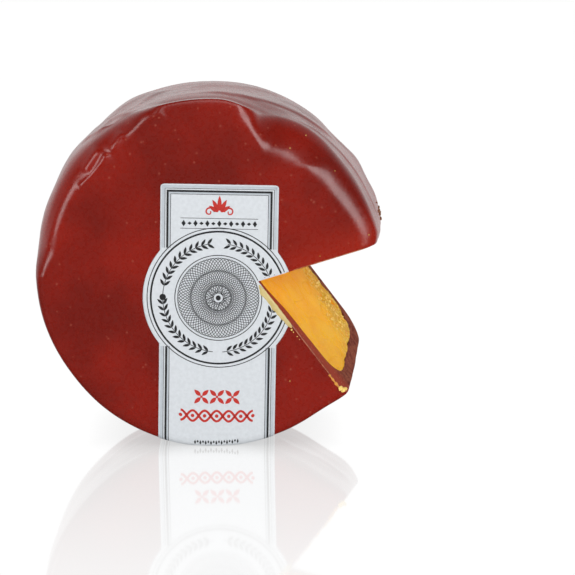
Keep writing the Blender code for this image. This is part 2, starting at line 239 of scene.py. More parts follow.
def waxFolds(rho, y, angle):
    # How far the main folds move the wax out from the axis
    radius = wheel["radius"]
    depth = y + wheel["depth"] / 2
    edge = rho - radius
    lip = window(angle, *waxFold["lip"])
    fold, worn = bump(angle, *waxFold["foldAt"]), bump(angle, *waxFold["wornAt"])
    out = 0.0
    for name, where in (("lipRidge", lip), ("lipGroove", lip), ("fold", fold), ("worn", worn)):
        height, width, middle, deep = waxFold[name]
        out = out + height * (where * bump(edge, 0.0, width) * bump(depth, middle, deep))

    # The rim is lower behind the slump, bulges at the left shoulder and is uneven along its back edge
    low = (0.6 + 1.5 * bump(angle, 70.0, 8.0)) * window(angle, *waxFold["slump"]) * bump(depth, 3.0, 9.0)
    shoulder = bump(angle, 141.0, 9.0) * (0.75 * bump(depth, 16.0, 10.0) - 0.35 * bump(depth, 0.0, 5.0))
    behind = sum(height * bump(angle, middle, width) for height, middle, width in waxFold["behind"])
    return out + (shoulder - low + behind * bump(depth, *waxFold["behindDepth"])) * bump(edge, 0.0, 8.0)


def faceWave(x, z, y):
    # The faces are not quite flat: they have slow waves, each face its own
    height, length = wheel["faceWave"]
    places = np.stack((x, z, 20.0 * np.sign(y)), axis=-1)
    return height * smoothNoise(places / length, 3) * np.sign(y) * soften(np.abs(y), 14.0, 18.5)


def edgeFall(crest, away, inward, slope, turning, deep):
    # How deep the front edge lies: a parabola from the face to halfway down the slope, and one on to the rim
    fallen = away**2 * slope * turning / 2 + 2 * away * (1 - away) * slope * inward + (1 - away) ** 2 * deep
    return np.where(crest < 1, crest**2 * slope * turning / 2, fallen)


def section(angle, stage, lift):
    # The wheel's section at an angle, one unit of stage for each part: across the front face, round the front
    # edge, over the rim, round the back edge and in across the back face
    radius = wheel["radius"] + lift
    half = wheel["depth"] / 2 + lift
    back = wheel["backRound"] + lift
    inward, slope, turning, deep = frontEdge(angle)
    inward, deep = inward + lift, deep + lift
    crest = np.clip((stage - 1) / 0.4, 0, 1)
    away = 1 - np.clip((stage - 1.4) / 0.6, 0, 1)
    turnBack = np.clip(stage - 3, 0, 1) * math.pi / 2
    rho = radius - inward + turning * (crest - 0.5)
    rho = np.where(stage < 1.4, rho, radius - away**2 * (inward - turning / 2))
    rho = np.where(stage < 1, (radius - inward - turning / 2) * stage, rho)
    rho = np.where(stage > 3, radius - back + back * np.cos(turnBack), rho)
    rho = np.where(stage > 4, (radius - back) * (5 - stage), rho)
    y = -half + edgeFall(crest, away, inward, slope, turning, deep)
    y = y + np.clip(stage - 2, 0, 1) * (2 * half - deep - back)
    return rho, y + back * np.sin(turnBack)


def folded(angle, rho, y):
    rho = (rho + waxFolds(rho, y, angle)) * outlineScale(angle)
    turn = np.radians(angle)
    return rho, y + faceWave(rho * np.cos(turn), rho * np.sin(turn), y)


def frontY(x, z, lift=0.0):
    # The Y of the front's wax at a place, for what lies on it
    angle = np.degrees(np.arctan2(z, x))
    rho = np.hypot(x, z) / outlineScale(angle)
    inward, slope, turning, deep = frontEdge(angle)
    crest = np.clip((rho - wheel["radius"] + inward) / turning + 0.5, 0, 1)
    away = np.sqrt(np.clip((wheel["radius"] - rho) / (inward - turning / 2), 0, 1))
    fall = edgeFall(crest, away, inward, slope, turning, deep)
    return folded(angle, rho, fall - wheel["depth"] / 2 - lift)[1]


def tipAt(y):
    # The notch's tip line drifts along the upper cut with depth, so that the lower cut slants
    upper = math.radians(notch["upper"])
    opening = math.radians(notch["upper"] - notch["lower"])
    drift = notch["slant"] / math.sin(opening) * (y + wheel["depth"] / 2) / wheel["depth"]
    return notch["tip"][0] + drift * math.cos(upper), notch["tip"][1] + drift * math.sin(upper)


def reachTo(tipX, tipZ, ray, rho):
    # How far a ray from the tip goes until it is rho away from the axis
    along = tipX * np.cos(ray) + tipZ * np.sin(ray)
    return -along + np.sqrt(np.maximum(along**2 - tipX**2 - tipZ**2 + rho**2, 0.0))


def sweep(rays, stages, profile):
    # The skin as rays that fan out from the notch's tip line: each row is one stage of the section, and each
    # point lies where its ray meets the section, found by going from angle to radius to angle again
    ray = np.radians(rays)[None, :]
    stage = stages[:, None] + 0 * ray
    edgeStage = np.clip(stage, 1.0, 4.0)
    angle = np.degrees(np.arctan2(np.sin(ray), np.cos(ray))) + 0 * stage
    for _ in range(9):
        rho, y = profile(angle, edgeStage)
        tipX, tipZ = tipAt(y)
        reach = reachTo(tipX, tipZ, ray, rho)
        angle = np.degrees(np.arctan2(tipZ + reach * np.sin(ray), tipX + reach * np.cos(ray)))
    share = np.where(stage < 1, stage, np.where(stage > 4, 5 - stage, 1.0))
    onFace = share < 1
    for _ in range(3):
        x = tipX + reach * share * np.cos(ray)
        z = tipZ + reach * share * np.sin(ray)
        inAngle = np.degrees(np.arctan2(z, x))
        whole = profile(inAngle, edgeStage)[0]
        inStage = np.clip(np.hypot(x, z) / whole, 0, 1)
        inStage = np.where(stage > 2.5, 5 - inStage, inStage)
        faceY = profile(inAngle, inStage)[1]
        y = np.where(onFace, faceY, y)
        tipX, tipZ = tipAt(y)
    x = tipX + reach * share * np.cos(ray)
    z = tipZ + reach * share * np.sin(ray)
    return np.stack((x, y, z), axis=-1)


def outerWax(angle, stage):
    return folded(angle, *section(angle, stage, 0.0))


def waxInside(angle, stage):
    # Where the wax meets the cheese: the same stages with a thickness of wax off them, and a slow waver
    thin, thick = cheeseCore["waxOnFront"]
    radius = cheeseCore["radius"]
    rounding = cheeseCore["edgeRound"]
    half = wheel["depth"] / 2
    turnFront = np.clip(stage - 1, 0, 1) * math.pi / 2
    turnBack = np.clip(stage - 3, 0, 1) * math.pi / 2
    rho = np.where(stage < 1, (radius - rounding) * stage, radius - rounding + rounding * np.sin(turnFront))
    rho = np.where(stage > 3, radius - rounding + rounding * np.cos(turnBack), rho)
    rho = np.where(stage > 4, (radius - rounding) * (5 - stage), rho)
    # The knife dragged some wax along the lower cut, so there it covers more of the cheese
    turn = np.radians(angle)
    lower = math.radians(notch["lower"])
    offX, offZ = rho * np.cos(turn) - notch["tip"][0], rho * np.sin(turn) - notch["tip"][1]
    away = offX * math.sin(lower) - offZ * math.cos(lower)
    along = offX * math.cos(lower) + offZ * math.sin(lower)
    dragged = cheeseCore["dragged"] * bump(away, 0.0, 2.0) * soften(along, 1.0, 12.0)
    front = -half + thin + (thick - thin) * np.clip(rho / radius, 0, 1) ** 2 + dragged
    back = half - cheeseCore["waxOnBack"]
    y = front + rounding * (1 - np.cos(turnFront)) + np.clip(stage - 2, 0, 1) * (back - front - 2 * rounding)
    y = y + rounding * np.sin(turnBack)
    places = np.stack((rho * np.cos(turn), y, rho * np.sin(turn)), axis=-1)
    waver = cheeseCore["waver"] * layeredNoise(places, 3.2, 3, 11)
    rho = (rho + waver * soften(rho, 20.0, 34.0)) * outlineScale(angle)
    return rho, y + 0.5 * waver * np.sign(y)


# Meshes


def facesOf(rows, columns, first):
    # Four-sided faces of a grid whose points are numbered row by row
    index = first + np.arange(rows * columns).reshape(rows, columns)
    return np.stack((index[:-1, :-1], index[:-1, 1:], index[1:, 1:], index[1:, :-1]), axis=-1).reshape(-1, 4)


def makePiece(name, grids, materials, closed=False, sharp=50.0, values=None, mark="crumble"):
    # Joins grids of points, each with its material's number, merges the points that coincide, drops the sides
    # that closed up, and puts the mesh in metres at its place in the model
    points = np.concatenate([grid.reshape(-1, 3) for grid, _ in grids])
    faces, kinds, first = [], [], 0
    for grid, kind in grids:
        rows, columns = grid.shape[:2]
        made = facesOf(rows, columns, first)
        faces.append(made)
        kinds.append(np.full(len(made), kind))
        first += rows * columns
    faces, kinds = np.concatenate(faces), np.concatenate(kinds)
    keys = np.round(points * 20000).astype(np.int64)
    _, kept, merged = np.unique(keys, axis=0, return_index=True, return_inverse=True)
    faces = merged.ravel()[faces]
    same = faces == np.roll(faces, -1, axis=1)
    quads = ~same.any(axis=1)
    threes = same.sum(axis=1) == 1
    corners = faces[threes][~same[threes]].reshape(-1, 3)
    mesh = bpy.data.meshes.new(name)
    centre = np.array((wheel["centreX"], 0.0, wheel["centreZ"]))
    mesh.from_pydata(((points[kept] + centre) * 0.001).tolist(), [], faces[quads].tolist() + corners.tolist())
    kinds = np.concatenate((kinds[quads], kinds[threes])).astype(np.int32)
    mesh.polygons.foreach_set("material_index", kinds)
    if values is not None:
        attribute = mesh.attributes.new(mark, "FLOAT", "POINT")
        attribute.data.foreach_set("value", np.asarray(values, dtype=np.float32)[kept])
    if closed:
        form = bmesh.new()
        form.from_mesh(mesh)
        bmesh.ops.recalc_face_normals(form, faces=form.faces[:])
        form.to_mesh(mesh)
        form.free()
    mesh.shade_smooth()
    mesh.set_sharp_from_angle(angle=math.radians(sharp))
    obj = bpy.data.objects.new(name, mesh)
    bpy.context.scene.collection.objects.link(obj)
    for material in materials:
        mesh.materials.append(material)
    return obj


def facing(grid):
    # Turns a grid over where it looks in towards the wheel
    side = np.cross(grid[:-1, 1:] - grid[:-1, :-1], grid[1:, :-1] - grid[:-1, :-1])
    middle = grid[:-1, :-1]
    onFace = np.abs(middle[..., 1:2]) > 18.0
    out = np.where(onFace, middle * (0, 1, 0), middle * (1, 0, 1))
    return grid if (side * out).sum() > 0 else grid[:, ::-1]


def normalsOf(grid):
    # Outward directions of a swept skin's points, from the differences along and across it
    side = np.cross(np.gradient(grid, axis=1), np.gradient(grid, axis=0))
    size = np.linalg.norm(side, axis=-1, keepdims=True)
    side = side / np.maximum(size, 1e-12)
    flip = np.sign((side * grid).sum(axis=-1, keepdims=True))
    side = side * np.where(flip == 0, 1, flip)
    side[0] = (0, -1, 0)
    side[-1] = (0, 1, 0)
    return side


# Materials


def newGroup(name, numbers, outputs):
    # A shader group that is given places and some numbers, and gives back numbers
    tree = bpy.data.node_groups.new(name, "ShaderNodeTree")
    tree.interface.new_socket("Vector", in_out="INPUT", socket_type="NodeSocketVector")
    for socket, value in numbers.items():
        tree.interface.new_socket(socket, in_out="INPUT", socket_type="NodeSocketFloat").default_value = value
    for socket in outputs:
        tree.interface.new_socket(socket, in_out="OUTPUT", socket_type="NodeSocketFloat")
    return tree, addNode(tree, "NodeGroupInput").outputs, addNode(tree, "NodeGroupOutput").inputs


def addNode(tree, kind, inputs=None, **settings):
    # One node with its settings; an input is given a value, or the socket that feeds it
    node = tree.nodes.new(kind)
    for name, value in settings.items():
        setattr(node, name, value)
    for name, value in (inputs or {}).items():
        if isinstance(value, bpy.types.NodeSocket):
            tree.links.new(value, node.inputs[name])
        else:
            node.inputs[name].default_value = value
    return node


def softStep(tree, value, low, high):
    inputs = {0: value, 1: low, 2: high}
    return addNode(tree, "ShaderNodeMapRange", inputs, interpolation_type="SMOOTHSTEP").outputs[0]


def makeMottle():
    # Blotches: layered noise, turned to a mask between two levels
    numbers = {"Scale": 100.0, "Detail": 3.0, "Low": 0.4, "High": 0.6}
    tree, given, result = newGroup("mottle", numbers, ("Mask", "Raw"))
    wanted = {name: given[name] for name in ("Vector", "Scale", "Detail")}
    noise = addNode(tree, "ShaderNodeTexNoise", wanted).outputs[0]
    tree.links.new(softStep(tree, noise, given["Low"], given["High"]), result["Mask"])
    tree.links.new(noise, result["Raw"])
    return tree


def makeSpecks():
    # Small round spots: how near each place is to the middle of its cell
    tree, given, result = newGroup("specks", {"Scale": 1000.0, "Size": 0.25}, ("Mask",))
    cells = addNode(tree, "ShaderNodeTexVoronoi", {"Vector": given["Vector"], "Scale": given["Scale"]})
    edge = addNode(tree, "ShaderNodeMath", {0: given["Size"], 1: 0.6}, operation="MULTIPLY").outputs[0]
    tree.links.new(softStep(tree, cells.outputs["Distance"], given["Size"], edge), result["Mask"])
    return tree


groups = {"mottle": makeMottle(), "specks": makeSpecks()}


def startMaterial(name):
    material = bpy.data.materials.new(name)
    material.use_nodes = True
    tree = material.node_tree
    place = addNode(tree, "ShaderNodeTexCoord").outputs["Object"]
    return material, tree, tree.nodes["Principled BSDF"], place


def placeGroup(tree, name, inputs):
    return addNode(tree, "ShaderNodeGroup", inputs, node_tree=groups[name])


def mottle(tree, place, scale, detail, low, high):
    given = {"Vector": place, "Scale": scale, "Detail": detail, "Low": low, "High": high}
    return placeGroup(tree, "mottle", given).outputs


def setInputs(shader, values):
    for name, value in values.items():
        shader.inputs[name].default_value = value


def mixColours(tree, share, first, second):
    first, second = ((*colour, 1.0) if isinstance(colour, tuple) else colour for colour in (first, second))
    return addNode(tree, "ShaderNodeMix", {0: share, 6: first, 7: second}, data_type="RGBA").outputs[2]


def spread(tree, value, low, high):
    # A value from 0 to 1 put between two others
    return addNode(tree, "ShaderNodeMapRange", {0: value, 3: low, 4: high}).outputs[0]


def roughen(tree, shader, height, distance, before=None):
    inputs = {"Height": height, "Distance": distance, "Strength": 1.0}
    if before is not None:
        inputs["Normal"] = before
    node = addNode(tree, "ShaderNodeBump", inputs)
    tree.links.new(node.outputs[0], shader.inputs["Normal"])
    return node.outputs[0]


waxLooks = {
    "deep": (0.160, 0.0060, 0.0020),
    "bright": (0.245, 0.0080, 0.0020),
    # painted glow: brighter red for the wax along the upper cut, standing in for light through the wax
    "glow": (0.290, 0.0110, 0.0020),
    "brown": (0.120, 0.0150, 0.0100),
    "speck": (0.420, 0.110, 0.070),
    "gloss": (0.25, 0.32),
    "cut": (0.245, 0.062, 0.034),
    "cutFront": (0.330, 0.044, 0.022),
    "cutPale": (0.460, 0.220, 0.110),
    # Blotches: scale, layers, and the levels between which they show
    "broad": (42.0, 3.0, 0.36, 0.66),
    "blotch": (230.0, 2.0, 0.56, 0.76),
    "fine": (900.0, 3.0, 0.3, 0.7),
    "cutBlotch": (600.0, 4.0, 0.4, 0.7),
}


def makeWax():
    material, tree, shader, place = startMaterial("redWax")
    broad = mottle(tree, place, *waxLooks["broad"])
    blotch = mottle(tree, place, *waxLooks["blotch"])
    fine = mottle(tree, place, *waxLooks["fine"])
    speck = placeGroup(tree, "specks", {"Vector": place, "Scale": 420.0, "Size": 0.13})
    colour = mixColours(tree, broad["Mask"], waxLooks["deep"], waxLooks["bright"])
    # Painted glow: the wax along the upper cut is mixed towards a brighter red
    glow = addNode(tree, "ShaderNodeAttribute", attribute_name="glow").outputs["Fac"]
    colour = mixColours(tree, glow, colour, waxLooks["glow"])
    weak = spread(tree, blotch["Mask"], 0.0, 0.14)
    colour = mixColours(tree, weak, colour, waxLooks["brown"])
    dots = spread(tree, speck.outputs["Mask"], 0.0, 0.35)
    colour = mixColours(tree, dots, colour, waxLooks["speck"])
    tree.links.new(colour, shader.inputs["Base Color"])
    tree.links.new(spread(tree, fine["Mask"], *waxLooks["gloss"]), shader.inputs["Roughness"])
    normal = roughen(tree, shader, fine["Raw"], 0.000010)
    roughen(tree, shader, blotch["Raw"], 0.00003, normal)
    setInputs(shader, {"Subsurface Weight": 0.10, "Subsurface Radius": (1.0, 0.15, 0.1)})
    setInputs(shader, {"Subsurface Scale": 0.0015, "Specular IOR Level": 0.42})
    setInputs(shader, {"Coat Weight": 0.15, "Coat Roughness": 0.16})
    return material


def makeCutWax():
    material, tree, shader, place = startMaterial("cutWax")
    blotch = mottle(tree, place, *waxLooks["cutBlotch"])
    speck = placeGroup(tree, "specks", {"Vector": place, "Scale": 1300.0, "Size": 0.2})
    colour = mixColours(tree, blotch["Mask"], waxLooks["cut"], waxLooks["brown"])
    depth = addNode(tree, "ShaderNodeSeparateXYZ", {0: place}).outputs[1]
    front = addNode(tree, "ShaderNodeMapRange", {0: depth, 1: -0.012, 2: -0.016}).outputs[0]
    colour = mixColours(tree, front, colour, waxLooks["cutFront"])
    dots = spread(tree, speck.outputs["Mask"], 0.0, 0.7)
    colour = mixColours(tree, dots, colour, waxLooks["cutPale"])
    tree.links.new(colour, shader.inputs["Base Color"])
    setInputs(shader, {"Roughness": 0.75, "Specular IOR Level": 0.08})
    roughen(tree, shader, blotch["Raw"], 0.0002)
    return material


cheeseLooks = {
    "smooth": (0.920, 0.425, 0.004),
    "smoothPale": (0.960, 0.500, 0.013),
    "crumbly": (0.690, 0.375, 0.030),
    "crumb": (0.900, 0.610, 0.110),
    "pit": (0.780, 0.270, 0.002),
    # Blotches: scale, layers, and the levels between which they show
    "broad": (160.0, 3.0, 0.35, 0.65),
    "lumps": (1500.0, 5.0, 0.5, 0.66),
    "pits": (560.0, 3.0, 0.58, 0.7),
    "grain": (2600.0, 4.0, 0.3, 0.7),
}


def makeCheese():
    material, tree, shader, place = startMaterial("cheese")
    rough = addNode(tree, "ShaderNodeAttribute", attribute_name="crumble").outputs["Fac"]
    broad = mottle(tree, place, *cheeseLooks["broad"])
    lumps = mottle(tree, place, *cheeseLooks["lumps"])
    pits = mottle(tree, place, *cheeseLooks["pits"])
    grain = mottle(tree, place, *cheeseLooks["grain"])
    smooth = mixColours(tree, broad["Mask"], cheeseLooks["smooth"], cheeseLooks["smoothPale"])
    crumbly = mixColours(tree, lumps["Mask"], cheeseLooks["crumbly"], cheeseLooks["crumb"])
    crumbly = mixColours(tree, pits["Mask"], crumbly, cheeseLooks["pit"])
    colour = mixColours(tree, rough, smooth, crumbly)
    tree.links.new(colour, shader.inputs["Base Color"])
    tree.links.new(spread(tree, grain["Mask"], 0.42, 0.62), shader.inputs["Roughness"])
    normal = roughen(tree, shader, grain["Raw"], 0.00008)
    roughen(tree, shader, lumps["Raw"], 0.0002, normal)
    setInputs(shader, {"Subsurface Weight": 0.35, "Subsurface Radius": (1.0, 0.45, 0.12)})
    setInputs(shader, {"Subsurface Scale": 0.0012, "Specular IOR Level": 0.12})
    return material


def makePlain(name, colour, roughness, bumpSize=0.0, bumpScale=1500.0):
    material, tree, shader, place = startMaterial(name)
    soft = mottle(tree, place, bumpScale, 3.0, 0.3, 0.7)
    worn = tuple(value * 0.93 for value in colour)
    tint = mixColours(tree, soft["Mask"], worn, colour)
    tree.links.new(tint, shader.inputs["Base Color"])
    shader.inputs["Roughness"].default_value = roughness
    roughen(tree, shader, soft["Raw"], bumpSize)
    return material


looks = {
    "wax": makeWax(),
    "cutWax": makeCutWax(),
    "cheese": makeCheese(),
    "paper": makePlain("labelPaper", (0.625, 0.655, 0.685), 0.34, 0.00003, 1200.0),
    "black": makePlain("blackInk", (0.016, 0.016, 0.018), 0.4, 0.0),
    "red": makePlain("redInk", (0.52, 0.024, 0.016), 0.4, 0.0),
    "grey": makePlain("greyInk", (0.47, 0.51, 0.55), 0.34, 0.0),
    "smear": makePlain("cheeseSmear", (0.78, 0.60, 0.22), 0.3, 0.00004, 700.0),
    "paleCrumb": makePlain("paleCrumb", (0.92, 0.66, 0.17), 0.55, 0.00005),
    "smudge": makePlain("smudge", (0.50, 0.165, 0.060), 0.5, 0.00005),
    "orangeCrumb": makePlain("orangeCrumb", (0.66, 0.27, 0.030), 0.5, 0.00005),
    "brownCrumb": makePlain("brownCrumb", (0.24, 0.090, 0.035), 0.6, 0.00005),
}
print("materials made")

# Wax shell

waxShell = {
    "columns": 410,
    "faceRows": 80,
    "edgeRows": 32,
    "rimRows": 60,
    "backEdgeRows": 14,
    "backFaceRows": 14,
    "bandSteps": 8,
    "insideColumns": 44,
    "wear": 0.45,  # share of the first column's width that the cut edge is worn down
    "flows": 1.3,  # how strongly the lines on the rim show
    "streaks": 0.12,
    "dents": 0.22,
    "grain": 0.012,
    "streakSize": (20.0, 4.0),  # round the wheel and along its axis
    "dentSize": (13.0, 5.5),
    "grainSize": 2.2,
}

# Creases in the front's wax: places along each from the wheel's centre, height, inner width, outer width
creases = (
    (((-38.5, -3.4), (-38, 3.2), (-37, 8.4), (-35, 14.2), (-32.6, 18.9), (-30.5, 22.3)), 0.20, 1.7, 1.0),
    (((-28.9, 24), (-27, 27), (-25.2, 29.5)), 0.40, 0.8, 1.1),
    (((-30.3, 20.5), (-27.1, 23.3), (-25, 26), (-23.4, 28.8)), 0.40, 1.5, 0.6),
    (((-22.5, 28.8), (-20.8, 31.6), (-19.7, 33.2)), 0.45, 1.0, 1.1),
    (((-19.7, 31.6), (-16, 34.8), (-13.3, 36.6), (-10.3, 38.5)), 0.28, 1.8, 1.0),
)

# Edges of wax that ran over the rim: places along each as angle and depth, height, front width, back width
flows = (
    (((137, 23), (130, 20), (124, 24), (117, 25), (108, 30)), 0.30, 3.5, 1.0),
    (((138, 14), (128, 8), (124, 13), (119, 8), (114, 4)), 0.35, 1.2, 3.0),
    (((119, 7), (115, 14), (111, 21), (104, 26)), 0.25, 0.8, 3.5),
    (((101, 22), (82, 26), (62, 31)), 0.22, 3.0, 0.8),
    (((97, 13), (84, 11), (70, 15), (52, 17), (40, 22)), 0.24, 0.8, 3.5),
    (((72, 22), (56, 26), (44, 24), (32, 27)), 0.26, 3.5, 0.9),
    (((62, 9), (42, 12), (24, 13), (13, 16)), 0.22, 0.8, 2.5),
    (((50, 31), (38, 30), (26, 33), (15, 30)), 0.24, 3.0, 0.8),
    (((214, 20), (196, 13), (180, 17), (165, 13), (150, 17)), 0.28, 2.5, 0.9),
    (((190, 28), (172, 25), (158, 29), (146, 26)), 0.24, 0.9, 3.0),
    (((245, 26), (228, 21), (211, 27)), 0.26, 3.0, 0.9),
    (((322, 15), (310, 19), (297, 14), (286, 18)), 0.24, 0.9, 3.0),
)


def besideLine(x, z, line):
    # Distance to a line of short pieces, below nought on its right, and the share of its length that lies
    # before the nearest place
    line = np.asarray(line, dtype=float)
    start, step = line[:-1], np.diff(line, axis=0)
    lengths = np.hypot(*step.T)
    gone = np.concatenate(((0.0,), np.cumsum(lengths)))
    nearest = np.full(x.shape, 1e9)
    share = np.zeros(x.shape)
    side = np.ones(x.shape)
    for number, (begin, run) in enumerate(zip(start, step)):
        offX, offZ = x - begin[0], z - begin[1]
        part = np.clip((offX * run[0] + offZ * run[1]) / lengths[number] ** 2, 0, 1)
        away = np.hypot(offX - part * run[0], offZ - part * run[1])
        closer = away < nearest
        nearest = np.where(closer, away, nearest)
        share = np.where(closer, (gone[number] + part * lengths[number]) / gone[-1], share)
        side = np.where(closer, np.sign(run[0] * offZ - run[1] * offX), side)
    return nearest * side, share


def ridge(away, share, height, right, left, fade):
    # A bell across a line, with its own width on each side, fading over a part of the line at both ends
    width = np.where(away > 0, left, right)
    ends = soften(share, 0.0, fade) * (1 - soften(share, 1.0 - fade, 1.0))
    return height * np.exp(-((away / width) ** 2)) * ends


def creaseHeight(x, y, z):
    total = np.zeros(x.shape)
    for line, height, inner, outer in creases:
        total += ridge(*besideLine(x, z, line), height, inner, outer, 0.12)
    return total * (1 - soften(y, -15.5, -12.5))


def flowHeight(x, y, z):
    # The lines on the rim, unrolled to a strip; each runs with falling angle, so its left is in front
    along = wheel["radius"] * np.mod(np.arctan2(z, x), 2 * math.pi)
    depth = y + wheel["depth"] / 2
    uneven = 0.5 * smoothNoise(np.stack((along, depth, 0 * depth), axis=-1) / 4.0, 24)
    total = np.zeros(x.shape)
    for line, height, front, back in flows:
        places = [(wheel["radius"] * math.radians(angle), deep) for angle, deep in line]
        away, share = besideLine(along, depth, places)
        total += ridge(away + uneven, share, waxShell["flows"] * height, back, front, 0.2)
    return total * soften(np.hypot(x, z), 36.5, 39.5)


def labelCover(grid):
    # One under the label and a little round it, so that the wax is even there
    x, y, z = np.moveaxis(grid, -1, 0)
    across, up = toLabel(x, z)
    strip = np.maximum(np.abs(across) - label["halfWidth"], up - label["top"])
    disc = np.hypot(across, up) - label["medallion"]
    front = np.minimum(strip, np.where(y < -15, disc, 9.0))
    back = np.maximum(np.abs(across) - label["halfWidth"], up + 23.0)
    beyond = np.where(y < -10, front, np.maximum(back, z + 24))
    return 1 - soften(beyond, 0.2, 1.6)


label = {
    "halfWidth": 13.525,
    "centre": (1.6, -5.1),
    "tilt": -1.07,
    "top": 26.5,
    "corner": 0.8,
    "medallion": 17.4,
    "backTop": 12.0,  # height above the ground of its end on the back face
    "foot": -30.0,  # height of a level line near the foot, from the middle of the round part
    "lift": 0.11,
    "thickness": 0.09,
}


def toLabel(x, z):
    # Places on the front face in the label's own directions, from the middle of its round part
    tilt = math.radians(label["tilt"])
    offX, offZ = x - label["centre"][0], z - label["centre"][1]
    return offX * math.cos(tilt) + offZ * math.sin(tilt), offZ * math.cos(tilt) - offX * math.sin(tilt)


def waxDetail(grid):
    # Flow streaks that run round the rim, slow dents, the creases at the front edge and a fine unevenness
    x, y, z = np.moveaxis(grid, -1, 0)
    onRim = soften(np.hypot(x, z), 34.0, 39.0)
    stretched, slow = (
        np.stack((x / wide, z / wide, y / deep), axis=-1)
        for wide, deep in (waxShell["streakSize"], waxShell["dentSize"])
    )
    height = waxShell["streaks"] * onRim * layeredNoise(stretched, 1.0, 2, 21)
    height += waxShell["dents"] * (0.25 + 0.75 * onRim) * smoothNoise(slow, 22)
    height += waxShell["grain"] * layeredNoise(grid, waxShell["grainSize"], 2, 23)
    height += creaseHeight(x, y, z) + flowHeight(x, y, z)
    return height * (1 - labelCover(grid))


def clearGround(grid, ground):
    grid[..., 2] = np.maximum(grid[..., 2], ground - wheel["centreZ"])
    return grid


def inPlane(shift, ray):
    # Takes off a shift the part that points out of a cut
    normal = np.array((-math.sin(math.radians(ray)), 0.0, math.cos(math.radians(ray))))
    return shift - (shift @ normal)[..., None] * normal


def rimRays(count, first, last):
    # Rays that are evenly spaced where they meet the rim
    tip = np.array(notch["tip"])
    ends = []
    for ray in (math.radians(first), math.radians(last)):
        reach = reachTo(*tip, ray, wheel["radius"])
        end = math.atan2(tip[1] + reach * math.sin(ray), tip[0] + reach * math.cos(ray))
        ends.append(math.degrees(end) % 360)
    angles = np.radians(np.linspace(*ends, count))
    endX, endZ = wheel["radius"] * np.cos(angles), wheel["radius"] * np.sin(angles)
    rays = np.degrees(np.arctan2(endZ - tip[1], endX - tip[0])) % 360
    rays[0], rays[-1] = first, last
    return rays


def nearCut(grid):
    # Painted glow: one at the upper cut, where the wax is drawn brighter as if light came through it from the
    # cheese, fading over a centimetre
    x, _, z = np.moveaxis(grid, -1, 0)
    turn = math.radians(notch["upper"])
    offX, offZ = x - notch["tip"][0], z - notch["tip"][1]
    above = offZ * math.cos(turn) - offX * math.sin(turn)
    along = offX * math.cos(turn) + offZ * math.sin(turn)
    return np.exp(-((above / 6.0) ** 2)) * soften(along, 2.0, 10.0) * (above > -0.5)


def makeWaxShell():
    first, last = notch["upper"], notch["lower"] + 360
    rows = [
        1 - np.linspace(1, 0, waxShell["faceRows"], endpoint=False) ** 1.25,
        1 + np.arange(waxShell["edgeRows"]) / waxShell["edgeRows"],
        2 + np.arange(waxShell["rimRows"]) / waxShell["rimRows"],
        3 + np.arange(waxShell["backEdgeRows"]) / waxShell["backEdgeRows"],
        4 + np.linspace(0, 1, waxShell["backFaceRows"] + 1),
    ]
    stages = np.concatenate(rows)
    outer = sweep(rimRays(waxShell["columns"], first, last), stages, outerWax)
    shift = waxDetail(outer)[..., None] * normalsOf(outer)
    shift[:, 0] = inPlane(shift[:, 0], first)
    shift[:, -1] = inPlane(shift[:, -1], last)
    shift[0] = 0
    shift[-1] = 0
    outer = outer + shift
    inner = sweep(rimRays(waxShell["insideColumns"], first, last), stages, waxInside)
    # The cut edges are worn down towards the cheese by a part of the first column's width
    bands = []
    for column, nextColumn in ((0, 1), (-1, -2)):
        room = np.linalg.norm(outer[:, nextColumn] - outer[:, column], axis=-1, keepdims=True)
        inward = inner[:, column] - outer[:, column]
        inward = inward / np.linalg.norm(inward, axis=-1, keepdims=True)
        outer[:, column] += waxShell["wear"] * room * inward
        step = np.linspace(0, 1, waxShell["bandSteps"] + 1)[None, :, None]
        bands.append(outer[:, column][:, None] * (1 - step) + inner[:, column][:, None] * step)
    outer = clearGround(outer, wheel["ground"])
    grids = [(outer, 0), (bands[0], 1), (bands[1], 1), (inner, 1)]
    # Mask of the painted glow along the upper cut
    glow = [nearCut(grid).ravel() for grid, _ in grids]
    piece = makePiece("waxShell", grids, (looks["wax"], looks["cutWax"]), closed=True, sharp=42.0,
                      values=np.concatenate(glow), mark="glow")
    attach(piece, "root")
    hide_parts("wax")
    return piece


makeWaxShell()
print("wax shell made")

# Cheese

cutFace = {
    "columns": 44,
    "smooth": 0.06,
    "lumps": 0.26,
    "cells": 0.30,
    "pits": 0.6,
    "cracks": 0.40,
    "grain": 0.09,
    "roughFrom": (2.5, 11.5),  # how far from the back face it stops being crumbly
}


def crumbliness(along, depth):
    # Nought where the cut is smooth, one where it is crumbly: towards the back and near the rim
    places = np.stack((along, depth, 0 * along), axis=-1)
    uneven = 3.4 * layeredNoise(places, 5.0, 3, 41)
    fromBack = wheel["depth"] - depth - 6.5 * soften(along, 8.0, 22.0)
    back = 1 - soften(fromBack + uneven, *cutFace["roughFrom"])
    rim = 0.55 * soften(along + uneven, 25.0, 28.0) * soften(depth, 12.0, 20.0)
    return np.clip(np.maximum(back, rim) + 0.04, 0.0, 1.0)


